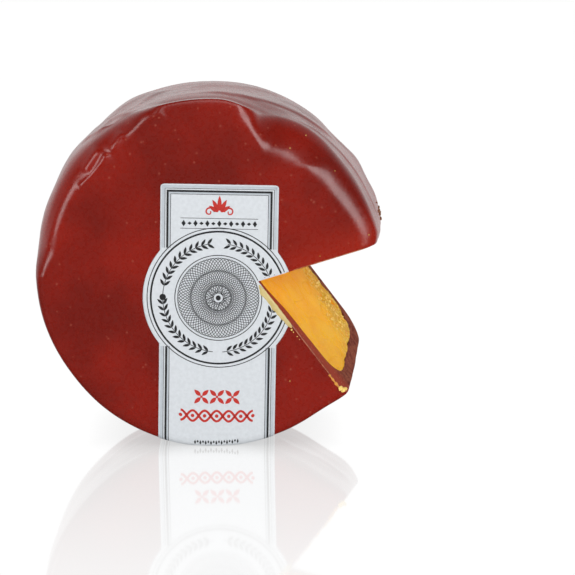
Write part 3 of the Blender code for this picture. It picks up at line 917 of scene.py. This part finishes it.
def cutRelief(along, depth, seed):
    # Height of the broken surface over the cut's plane: lumps and grains, less pits and cracks
    rough = crumbliness(along, depth)
    places = np.stack((along, depth, np.full(along.shape, 5.0 * seed)), axis=-1)
    near, nextNear = cellNoise(places / 1.1, seed + 50)
    height = cutFace["smooth"] * layeredNoise(places, 5.0, 3, seed)
    height += rough * cutFace["lumps"] * layeredNoise(places, 3.0, 3, seed + 3)
    height += rough * cutFace["cells"] * (0.5 - near) * soften(nextNear - near, 0.0, 0.25)
    pits = soften(smoothNoise(places / 2.4, seed + 7), 0.22, 0.5)
    height -= rough * cutFace["pits"] * pits
    line = np.abs(layeredNoise(places, 6.5, 2, seed + 9))
    height -= (0.35 + 0.65 * rough) * cutFace["cracks"] * np.exp(-((line / 0.035) ** 2))
    height += rough * cutFace["grain"] * layeredNoise(places, 0.55, 2, seed + 13)
    return height * soften(along, 0.0, 2.5), rough


def makeCheeseCore():
    first, last = notch["upper"], notch["lower"] + 360
    face = np.linspace(0, 1, cheeseCore["faceRows"], endpoint=False)
    rim = [
        1 + np.arange(cheeseCore["edgeRows"]) / cheeseCore["edgeRows"],
        2 + np.arange(cheeseCore["rimRows"]) / cheeseCore["rimRows"],
        3 + np.arange(cheeseCore["edgeRows"] + 1) / cheeseCore["edgeRows"],
    ]
    rim = np.concatenate(rim)
    stages = np.concatenate((face, rim, 5 - face[::-1]))
    skin = sweep(rimRays(cutFace["columns"], first, last), stages, waxInside)
    count = len(face)
    grids, values = [], []
    for column, ray, seed in ((0, first, 61), (-1, last, 83)):
        # The cut: rows from front to back, each from the tip line out to where the cheese meets the wax
        side = skin[:, column]
        edge = side[count : count + len(rim)]
        front, back = side[: count + 1], side[count + len(rim) - 1 :][::-1]
        share = np.concatenate((face, (1.0,)))[None, :]
        ownX, ownZ = tipAt(edge[:, 1])
        reach = np.hypot(edge[:, 0] - ownX, edge[:, 2] - ownZ)[:, None]
        down = ((edge[:, 1] - edge[0, 1]) / (edge[-1, 1] - edge[0, 1]))[:, None]
        ends = (1 - down) * (front[:, 1] - front[-1, 1]) + down * (back[:, 1] - back[-1, 1])
        y = edge[:, 1][:, None] + ends
        tipX, tipZ = tipAt(y)
        turn = math.radians(ray)
        depth = y + wheel["depth"] / 2
        height, rough = cutRelief(reach * share, depth, seed)
        out = turn - math.pi / 2 if column == 0 else turn + math.pi / 2
        x = tipX + reach * share * math.cos(turn) + height * math.cos(out)
        z = tipZ + reach * share * math.sin(turn) + height * math.sin(out)
        grid = np.stack((x, y, z), axis=-1)
        grids.append((grid, 0))
        values.append(rough.ravel())
        # The skin's side takes the broken edge, so that the two close up
        skin[: count + 1, column] = grid[0]
        skin[count : count + len(rim), column] = grid[:, -1]
        skin[count + len(rim) - 1 :, column] = grid[-1, ::-1]
    grids.append((skin, 0))
    values.append(np.zeros(skin.shape[0] * skin.shape[1]))
    values = np.concatenate(values)
    piece = makePiece("cheeseCore", grids, (looks["cheese"],), closed=True, sharp=70.0, values=values)
    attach(piece, "root")
    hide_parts("cheese")


makeCheeseCore()
print("cheese made")

# Label


def levelAt(way):
    # Height on the label of the ways from its top, -1, to the level line near its foot, 0
    return label["top"] + (way + 1) * (label["foot"] - label["top"])


def wayAt(up):
    return (up - label["top"]) / (label["foot"] - label["top"]) - 1


def stripEnd():
    # How far above and below its middle the round part's edge crosses the strip's
    return math.sqrt(label["medallion"] ** 2 - label["halfWidth"] ** 2)


def labelPlace(across, way, lift):
    # Places on the label: way -1 is its top, 0 a level line near its foot, 1 where the front face ends, 2 the
    # end of the front edge, 3 of the rim, 4 of the back edge and 5 the label's end on the back face
    tilt = math.radians(label["tilt"])
    upX, upZ = -math.sin(tilt), math.cos(tilt)
    startX = label["centre"][0] + across * math.cos(tilt)
    startZ = label["centre"][1] + across * math.sin(tilt)
    along = startX * upX + startZ * upZ
    inside = along**2 - startX**2 - startZ**2
    stage = np.clip(way, 1, 5)
    angle = np.full(np.broadcast(across, way).shape, -90.0)

    def roundAt(stage, angle):
        for _ in range(5):
            rho, y = folded(angle, *section(angle, stage, lift))
            up = -along - np.sqrt(inside + rho**2)
            angle = np.degrees(np.arctan2(startZ + up * upZ, startX + up * upX))
        return up, y

    faceEnd, _ = roundAt(np.ones_like(angle), angle)
    # On the back face the stages are shared out so that the last one is level
    startBack = wheel["radius"] - wheel["backRound"]
    endRho = np.hypot(startX, label["backTop"] - wheel["centreZ"])
    lastStage = 5 - endRho / startBack
    stage = np.where(stage > 4, 4 + (stage - 4) * (lastStage - 4), stage)
    up, y = roundAt(stage, angle)
    # The level line near the foot rises towards the label's sides, where the face ends sooner
    rise = 2.0 * (across / label["halfWidth"]) ** 4
    foot = label["foot"] + rise
    level = levelAt(way) + rise * soften(way, -0.15, 0.0)
    upper = np.where(way < 0, level, foot + way * (faceEnd - foot))
    up = np.where(way < 1, upper, up)
    x, z = startX + up * upX, startZ + up * upZ
    y = np.where(way < 1, frontY(x, z, lift), y)
    return clearGround(np.stack((x, y, z), axis=-1), wheel["ground"] - lift)


def onFace(across, up, lift):
    return labelPlace(across, wayAt(up), lift)


def labelSides(up):
    # Left and right end of the paper at a height: the strip or the round part, cut off at the notch
    disc = np.sqrt(np.maximum(label["medallion"] ** 2 - up**2, 0.0))
    above = 1 - (label["top"] - up) / label["corner"]
    corner = label["corner"] * (1 - np.sqrt(np.clip(1 - above**2, 0, 1)))
    corner = np.where(above > 0, corner, 0.0)
    right = np.maximum(label["halfWidth"], disc) - corner
    return -right, np.minimum(right, cutAt(up))


def cutAt(up, margin=0.06):
    # How far to the right the front face goes before the notch, at a height on the label
    tipAcross, tipUp = toLabel(*notch["tip"])
    slope = np.where(up > tipUp, notch["upper"], notch["lower"]) - label["tilt"]
    return tipAcross - margin + (up - tipUp) / np.tan(np.radians(slope))


def makeLabelPaper():
    reach = stripEnd()
    tipUp = toLabel(*notch["tip"])[1]
    marks = (label["top"], label["top"] - label["corner"], reach, tipUp, -reach, label["foot"])
    spans = zip(marks, marks[1:], (6, 30, 20, 40, 36))
    levels = [np.linspace(begin, end, count, endpoint=False) for begin, end, count in spans]
    beyond = [part + np.linspace(0, 1, count, endpoint=False) for part, count in enumerate((6, 16, 44, 14))]
    ways = np.concatenate((wayAt(np.concatenate(levels)), *beyond, np.linspace(4, 5, 12)))[:, None]
    left, right = labelSides(levelAt(np.minimum(ways, 0)))
    share = np.linspace(0, 1, 56)[None, :]
    grid = facing(labelPlace(left + (right - left) * share, ways, label["lift"]))
    piece = makePiece("labelPaper", [(grid, 0)], (looks["paper"],))
    wall = piece.modifiers.new("Paper", "SOLIDIFY")
    wall.thickness = label["thickness"] * 0.001
    wall.offset = -1.0
    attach(piece, "root")
    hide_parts("label")


makeLabelPaper()
print("label paper made")

# Print on the label: every mark is a ribbon that follows a line, with its own width along it

printing = {"lift": 0.13, "bandLift": 0.122, "insideMargin": 0.3}


def ribbon(path, width, lift=printing["lift"]):
    # A line of places on the label with half its width to each side, square to the line
    path = np.asarray(path, dtype=float)
    run = np.gradient(path, axis=0)
    run = run / np.maximum(np.linalg.norm(run, axis=1, keepdims=True), 1e-9)
    off = np.stack((-run[:, 1], run[:, 0]), axis=1) * np.broadcast_to(width, len(path))[:, None] / 2
    across = np.stack((path[:, 0] - off[:, 0], path[:, 0] + off[:, 0]), axis=1)
    up = np.stack((path[:, 1] - off[:, 1], path[:, 1] + off[:, 1]), axis=1)
    kept = across.max(axis=1) < cutAt(up.mean(axis=1), printing["insideMargin"])
    pieces = []
    edges = np.flatnonzero(np.diff(np.concatenate(((0,), kept.astype(int), (0,)))))
    for begin, end in edges.reshape(-1, 2):
        if end - begin > 1:
            pieces.append((facing(onFace(across[begin:end], up[begin:end], lift)), 0))
    return pieces


def polar(radius, turn):
    return np.stack((radius * np.cos(turn), radius * np.sin(turn)), axis=-1)


def ringPath(radius, first=-180.0, last=180.0, count=None):
    count = count or int(abs(last - first) * radius / 18) + 8
    return polar(radius, np.radians(np.linspace(first, last, count)))


def leaf(start, heading, length, width, bend=0.0):
    # A leaf: a line that may curve, widest a little before its middle
    share = np.linspace(0, 1, 9)
    turn = np.radians(heading + bend * (share - 0.5))
    path = np.asarray(start) + np.cumsum(polar(1.0, turn), axis=0) * (length / 8)
    return ribbon(path, width * np.sin(math.pi * share**0.85) ** 0.9 + 0.01)


def levelLine(across, up):
    return np.stack((across, np.full(len(across), up)), axis=1)


def dot(centre, radius):
    share = np.linspace(-1, 1, 13)
    path = levelLine(centre[0] + radius * share, centre[1])
    return ribbon(path, 2 * radius * np.sqrt(1 - share**2) + 0.001)


def diamond(centre, width, height):
    share = np.array((-1.0, 0.0, 1.0))
    return ribbon(levelLine(centre[0] + width / 2 * share, centre[1]), height * (1 - np.abs(share)) + 0.001)


def printPiece(name, grids, material):
    piece = makePiece(name, grids, (material,))
    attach(piece, "root")


def sideLine(offset, width, lift=printing["lift"]):
    # A border line on each side of the strip, from its top to its end on the back, and one along the top
    grids = []
    middle = label["halfWidth"] - offset
    span = np.array((-width / 2, width / 2))
    level = label["top"] - offset
    reach = stripEnd() + 0.65
    upperWays = wayAt(np.linspace(level, reach, 24))
    marks = ((wayAt(-reach), 0, 30), (0, 1, 6), (1, 2, 17), (2, 3, 45), (3, 4, 15), (4, 4.96, 12))
    parts = [np.linspace(*mark)[min(number, 1):] for number, mark in enumerate(marks)]
    for side in (-1, 1):
        across = side * middle + span[None, :]
        for ways in (upperWays[:, None], np.concatenate(parts)[:, None]):
            grids.append((facing(labelPlace(across + 0 * ways, ways + 0 * across, lift)), 0))
    topLine = levelLine(np.linspace(-middle - width / 2, middle + width / 2, 40), level)
    return grids + ribbon(topLine, width, lift)


def blackPrint():
    grids = ribbon(ringPath(16.4), 0.2) + ribbon(ringPath(15.55), 0.42) + ribbon(ringPath(10.0), 0.2)
    for offset, width in ((1.05, 0.12), (1.65, 0.48), (2.35, 0.12)):
        grids += sideLine(offset, width)
    # Wreath: leaves in pairs on two branches that rise from the bottom to the top
    for side in (-1, 1):
        grids += ribbon(ringPath(12.8, -90 + side * 5, -90 + side * 171, 150), 0.16)
        for number in range(25):
            turn = -90 + side * (9 + 6.6 * number)
            if abs(abs((turn + 180) % 360 - 180) - 180) < 7 and side < 0:
                continue
            centre = polar(12.8, math.radians(turn))
            heading = turn + side * 90
            grids += leaf(centre, heading - 38, 1.75, 0.62, side * 14)
            grids += leaf(centre, heading + 38, 1.75, 0.62, -side * 14)
    grids += dot((-12.8, 0.0), 0.76)
    # Rosette: waves of fine lines that cross one another
    turn = np.linspace(0, 2 * math.pi, 421)
    for number in range(9):
        shift = 2 * math.pi * number / 9
        for middle, height, count in ((7.9, 1.5, 8), (4.6, 1.7, 7), (2.0, 0.9, 6)):
            if middle < 3 and number % 2:
                continue
            grids += ribbon(polar(middle + height * np.sin(count * turn + shift), turn), 0.13)
    grids += dot((0.0, 0.0), 0.6)
    # Row of small marks under the top ornament
    for number in range(-6, 7):
        grids += diamond((1.36 * number, 17.4), 1.0, 1.5 if number % 2 == 0 else 0.8)
    for up in (16.2, 18.6):
        grids += ribbon(levelLine((-8.9, 0.0, 8.9), up), 0.12)
    # Row of small marks where the label turns under
    for number in range(-8, 9):
        ways = np.linspace(1.50, 1.68 if number % 2 == 0 else 1.60, 5)[:, None]
        half = np.array((0.01, 0.13, 0.24, 0.13, 0.01))[:, None]
        across = 0.62 * number + half * np.array((-1, 1))[None, :]
        grids.append((facing(labelPlace(across, ways + 0 * across, printing["lift"])), 0))
    return grids


def curl(centre, radius, first, turns, width):
    # A scroll that winds in towards its eye and thins out
    share = np.linspace(0, 1, 40)
    turn = np.radians(first) + share * turns * 2 * math.pi
    path = np.asarray(centre) + polar(radius * (1 - 0.8 * share), turn)
    return ribbon(path, width * (1 - 0.45 * share))


def redPrint():
    grids = []
    # Top ornament: a fan of leaves between two scrolls
    base = (0.0, 19.9)
    for heading, length in ((90, 3.6), (62, 3.1), (118, 3.1), (34, 2.6), (146, 2.6)):
        grids += leaf(base, heading, length, 0.95)
    for side in (-1, 1):
        start = 180 if side > 0 else 0
        grids += curl((side * 2.3, 20.1), 1.15, start, -side * 1.1, 0.42)
    # Upper row: crossed leaves in lozenges
    for middle in (-3.6, 0.0, 3.6):
        for heading in (45, 135, 225, 315):
            grids += leaf((middle, -23.5), heading, 2.1, 0.95)
        grids += dot((middle, -23.5), 0.3)
    # Lower row: two waves that cross, with a dot in each eye
    across = np.linspace(-8.4, 8.4, 121)
    for side in (-1, 1):
        wave = -28.1 + side * 1.25 * np.cos(across / 8.4 * 3.0 * math.pi)
        grids += ribbon(np.stack((across, wave), axis=1), 0.55)
    for number in range(-3, 4):
        grids += dot((number * 2.8, -28.1), 0.42)
    return grids


def greyPrint():
    # Pale bands between the border lines
    return sideLine(0.62, 0.6, printing["bandLift"]) + sideLine(2.0, 0.5, printing["bandLift"])


printPiece("labelPrintBlack", blackPrint(), looks["black"])
printPiece("labelPrintRed", redPrint(), looks["red"])
printPiece("labelPrintGrey", greyPrint(), looks["grey"])
print("label print made")

# Leftovers of the cut: a smear on the label, smudges along the two front edges, and crumbs

leftovers = {
    "smearHeight": 0.26,
    "smear": (
        # Distance from the tip along the lower cut, distance from the cut, width
        (0.7, 0.35, 0.5), (2.6, 0.74, 1.5), (4.4, 0.60, 1.25), (6.9, 0.64, 1.35), (9.6, 0.60, 1.25),
        (11.8, 0.52, 1.05), (13.4, 0.42, 0.8),
    ),
    "smudges": (
        # Angle of the cut, first and last distance from the tip, width, material
        (notch["lower"], 12.8, 28.0, 0.13, 3),
        (notch["lower"], 27.4, 32.2, 0.55, 1),
        (notch["upper"], 8.0, 26.0, 0.14, 3),
    ),
    "faceCrumbs": (
        # Place on the front from the wheel's centre, radius, material
        (29.9, -26.5, 0.55, 0), (30.5, -26.9, 0.60, 0), (31.0, -26.7, 0.42, 0), (18.5, -12.6, 0.24, 0),
        (18.9, -13.2, 0.13, 0), (19.8, -14.2, 0.14, 0), (20.3, -14.9, 0.10, 0), (21.75, 32.1, 0.13, 0),
        (18.1, 29.6, 0.13, 0), (28.4, 24.3, 0.11, 0), (36.2, 9.6, 0.11, 0), (18.1, -24.8, 0.12, 0),
        (25.0, 4.7, 0.10, 0),
    ),
    "smearAlpha": 0.72,
    "cutCrumbs": 110,
    "rimCrumbs": 26,
}


def alongCut(ray, along, off):
    # A place on the front beside a cut, on the wax's side of it
    turn = math.radians(ray)
    off = off if ray > 0 else -off
    x = notch["tip"][0] + along * math.cos(turn) - off * math.sin(turn)
    return x, notch["tip"][1] + along * math.sin(turn) + off * math.cos(turn)


def strand(path, widths, height):
    # A low closed strand on the front: an oval ring at each place of a path, shrunk to a point at both ends
    run = np.gradient(path, axis=0)
    across = np.cross(run, (0.0, -1.0, 0.0))
    across = across / np.linalg.norm(across, axis=1, keepdims=True)
    ends = np.sqrt(np.clip(1 - np.linspace(-1, 1, len(path)) ** 12, 0, 1))
    turn = np.linspace(0, 2 * math.pi, 13)[None, :, None]
    side = across[:, None] * (widths * ends / 2)[:, None, None] * np.cos(turn)
    return path[:, None] + side + np.array((0.0, -height, 0.0)) * ends[:, None, None] * np.sin(turn)


def crumb(centre, radius, seed):
    # A ball whose radius changes with direction by smooth noise
    tilt = np.linspace(0, math.pi, 8)[:, None]
    turn = np.linspace(0, 2 * math.pi, 11)[None, :]
    ball = np.concatenate((polar(np.sin(tilt), turn), (np.cos(tilt) + 0 * turn)[..., None]), axis=-1)
    ball[:, -1] = ball[:, 0]
    size = radius * (1 + 0.7 * smoothNoise(ball * 1.1 + seed * 3.7, 5))
    return np.asarray(centre) + ball * size[..., None]


def makeSmear():
    marks = np.array(leftovers["smear"])
    along = np.linspace(marks[0, 0], marks[-1, 0], 90)
    uneven = smoothNoise(np.stack((along, 0 * along, 0 * along), axis=-1) / 1.3, 71)
    off = np.interp(along, marks[:, 0], marks[:, 1]) + 0.12 * uneven
    x, z = alongCut(notch["lower"], along, off)
    path = np.stack((x, frontY(x, z, label["lift"]), z), axis=1)
    widths = np.interp(along, marks[:, 0], marks[:, 2]) * (1 + 0.5 * uneven)
    grid = strand(path, widths, leftovers["smearHeight"])
    piece = makePiece("smear", [(grid, 0)], (looks["smear"],), closed=True)
    shader = piece.data.materials[0].node_tree.nodes["Principled BSDF"]
    setInputs(shader, {"Alpha": leftovers["smearAlpha"]})
    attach(piece, "root")


def makeSmudges():
    grids = []
    for ray, first, last, width, kind in leftovers["smudges"]:
        along = np.linspace(first, last, int((last - first) * 9))
        uneven = smoothNoise(np.stack((along, 0 * along + ray, 0 * along + width), axis=-1) / 0.7, 72)
        x, z = alongCut(ray, along, 0.10 + 0.3 * width)
        path = np.stack((x, frontY(x, z) + 0.02, z), axis=1)
        grids.append((strand(path, width * (1 + 1.3 * uneven), 0.07 + 0.25 * width), kind))
    return grids


def makeCrumbs():
    pick = np.random.default_rng(7)
    grids = makeSmudges()
    for number, (x, z, radius, kind) in enumerate(leftovers["faceCrumbs"]):
        y = frontY(np.array(x), np.array(z)) - 0.4 * radius
        grids.append((crumb((x, float(y), z), radius, number), kind))
    # On the lower cut, in its crumbly part and beside it
    turn = math.radians(notch["lower"])
    for number in range(leftovers["cutCrumbs"]):
        along = pick.uniform(5.0, 24.0)
        depth = wheel["depth"] - pick.uniform(2.6, 14.0) - 3.0 * pick.random() ** 3
        height, rough = cutRelief(np.array(along), np.array(depth), 83)
        y = depth - wheel["depth"] / 2
        tipX, tipZ = tipAt(y)
        away = float(height) + 0.03
        x = tipX + along * math.cos(turn) - away * math.sin(turn)
        centre = (x, y, tipZ + along * math.sin(turn) + away * math.cos(turn))
        if rough > 0.25:
            grids.append((crumb(centre, pick.uniform(0.12, 0.34), number), 0))
    # On the rim behind the upper cut
    for number in range(leftovers["rimCrumbs"]):
        angle, depth = np.array(11.6 + 6.0 * pick.random() ** 1.5), np.array(pick.uniform(24.0, 33.0))
        rho, y = folded(angle, np.array(wheel["radius"]), depth - wheel["depth"] / 2)
        centre = np.array((rho * np.cos(np.radians(angle)), y, rho * np.sin(np.radians(angle))))
        rho = rho + waxDetail(centre[None])[0] + 0.05
        centre[[0, 2]] = rho * np.cos(np.radians(angle)), rho * np.sin(np.radians(angle))
        grids.append((crumb(centre, pick.uniform(0.16, 0.38), 50 + number), 2))
    materials = (looks["paleCrumb"], looks["orangeCrumb"], looks["brownCrumb"], looks["smudge"])
    piece = makePiece("crumbs", grids, materials, closed=True)
    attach(piece, "root")


makeSmear()
makeCrumbs()
print("leftovers made")

# Stage, light and colour

studio = {
    "floor": 1.03,  # what the floor shows of itself, the rest is its reflection
    "paintedContactShadow": 0.76,  # the same where the wheel stands: a painted contact shadow in the floor's own glow
    "shade": 0.04,  # the part of the floor that takes light and shadow
    "sheen": (0.28, 0.12),  # how much it mirrors, under the wheel and in front of it
    "fade": (-0.015, -0.110),  # where, along Y
    "world": (0.07, 1.02),  # brightness in front of the wheel and behind it
    "mirrored": (0.03, 0.80),  # brightness of the floor in the reflections, in front and behind
    "lights": (
        # Name, place, width and height, brightness
        ("frontRight", (0.56, -0.84, 0.36), (0.46, 0.70), 6.0),
        ("left", (-0.72, -0.60, 0.34), (0.36, 0.66), 5.0),
        ("front", (0.05, -1.30, 0.75), (0.60, 0.50), 2.6),
    ),
}


def makeFloor():
    # A pale glossy floor: an even white glow, dimmed near the wheel by ambient occlusion as a painted contact
    # shadow, a little diffuse white that takes the contact shadow, and a soft mirror. In the reflections on
    # the wheel it is dark in front, as the studio is
    mesh = bpy.data.meshes.new("floor")
    mesh.from_pydata([(-5, -5, 0), (5, -5, 0), (5, 5, 0), (-5, 5, 0)], [], [(0, 1, 2, 3)])
    floor = bpy.data.objects.new("floor", mesh)
    bpy.context.scene.collection.objects.link(floor)
    material = bpy.data.materials.new("paleFloor")
    material.use_nodes = True
    tree = material.node_tree
    tree.nodes.clear()
    seen = addNode(tree, "ShaderNodeLightPath")
    # Painted contact shadow: ambient occlusion dims the floor's own white glow where the wheel stands
    paintedShadowMask = addNode(tree, "ShaderNodeAmbientOcclusion", {"Distance": 0.010}, samples=8).outputs["AO"]
    glowWithPaintedShadow = spread(tree, paintedShadowMask, studio["paintedContactShadow"], studio["floor"])
    glow = addNode(tree, "ShaderNodeEmission", {"Color": (1, 1, 1, 1), "Strength": glowWithPaintedShadow})
    matt = addNode(tree, "ShaderNodeBsdfDiffuse", {"Color": (0.9, 0.9, 0.9, 1)})
    mirror = addNode(tree, "ShaderNodeBsdfGlossy", {"Color": (1, 1, 1, 1), "Roughness": 0.05})
    place = addNode(tree, "ShaderNodeTexCoord").outputs["Object"]
    depth = addNode(tree, "ShaderNodeSeparateXYZ", {0: place}).outputs[1]
    low, high = studio["mirrored"]
    glossy = addNode(tree, "ShaderNodeMapRange", {0: depth, 1: 0.0, 2: 0.12, 3: low, 4: high}).outputs[0]
    dark = addNode(tree, "ShaderNodeEmission", {"Color": (1, 1, 1, 1), "Strength": glossy})
    near, far = studio["fade"]
    strong, weak = studio["sheen"]
    sheen = addNode(tree, "ShaderNodeMapRange", {0: depth, 1: far, 2: near, 3: weak, 4: strong}).outputs[0]
    first = mixShaders(tree, studio["shade"], glow, matt)
    second = mixShaders(tree, sheen, first, mirror)
    third = mixShaders(tree, seen.outputs["Is Glossy Ray"], second, dark)
    out = addNode(tree, "ShaderNodeOutputMaterial")
    tree.links.new(third.outputs[0], out.inputs["Surface"])
    mesh.materials.append(material)


def mixShaders(tree, share, first, second):
    return addNode(tree, "ShaderNodeMixShader", {0: share, 1: first.outputs[0], 2: second.outputs[0]})


def makeLights():
    # Soft boxes that face the wheel; brightness is turned to power by their area
    middle = np.array((0.0, 0.0, 0.04))
    for name, place, size, brightness in studio["lights"]:
        data = bpy.data.lights.new(name, "AREA")
        data.shape = "RECTANGLE"
        data.size, data.size_y = size
        data.energy = brightness * math.pi * size[0] * size[1]
        obj = bpy.data.objects.new(name, data)
        bpy.context.scene.collection.objects.link(obj)
        away = np.array(place) - middle
        obj.location = place
        tilt = math.atan2(math.hypot(away[0], away[1]), away[2])
        obj.rotation_euler = (tilt, 0.0, math.atan2(away[0], -away[1]))


def makeWorld():
    # Dim in front and bright behind, as in a studio with a white backdrop; plain white seen directly
    world = bpy.data.worlds.new("studio")
    bpy.context.scene.world = world
    world.use_nodes = True
    tree = world.node_tree
    back = tree.nodes["Background"]
    back.inputs["Color"].default_value = (1, 1, 1, 1)
    direction = addNode(tree, "ShaderNodeTexCoord").outputs["Generated"]
    parts = addNode(tree, "ShaderNodeSeparateXYZ", {0: direction})
    low, high = studio["world"]
    behind = addNode(tree, "ShaderNodeMapRange", {0: parts.outputs[1], 1: -0.1, 2: 0.75, 3: low, 4: high})
    seen = addNode(tree, "ShaderNodeLightPath").outputs["Is Camera Ray"]
    shade = addNode(tree, "ShaderNodeMix", {0: seen, 2: behind.outputs[0], 3: 1.0})
    tree.links.new(shade.outputs[0], back.inputs["Strength"])


makeFloor()
makeWorld()
makeLights()
bpy.context.scene.view_settings.view_transform = "Standard"
print("studio made")
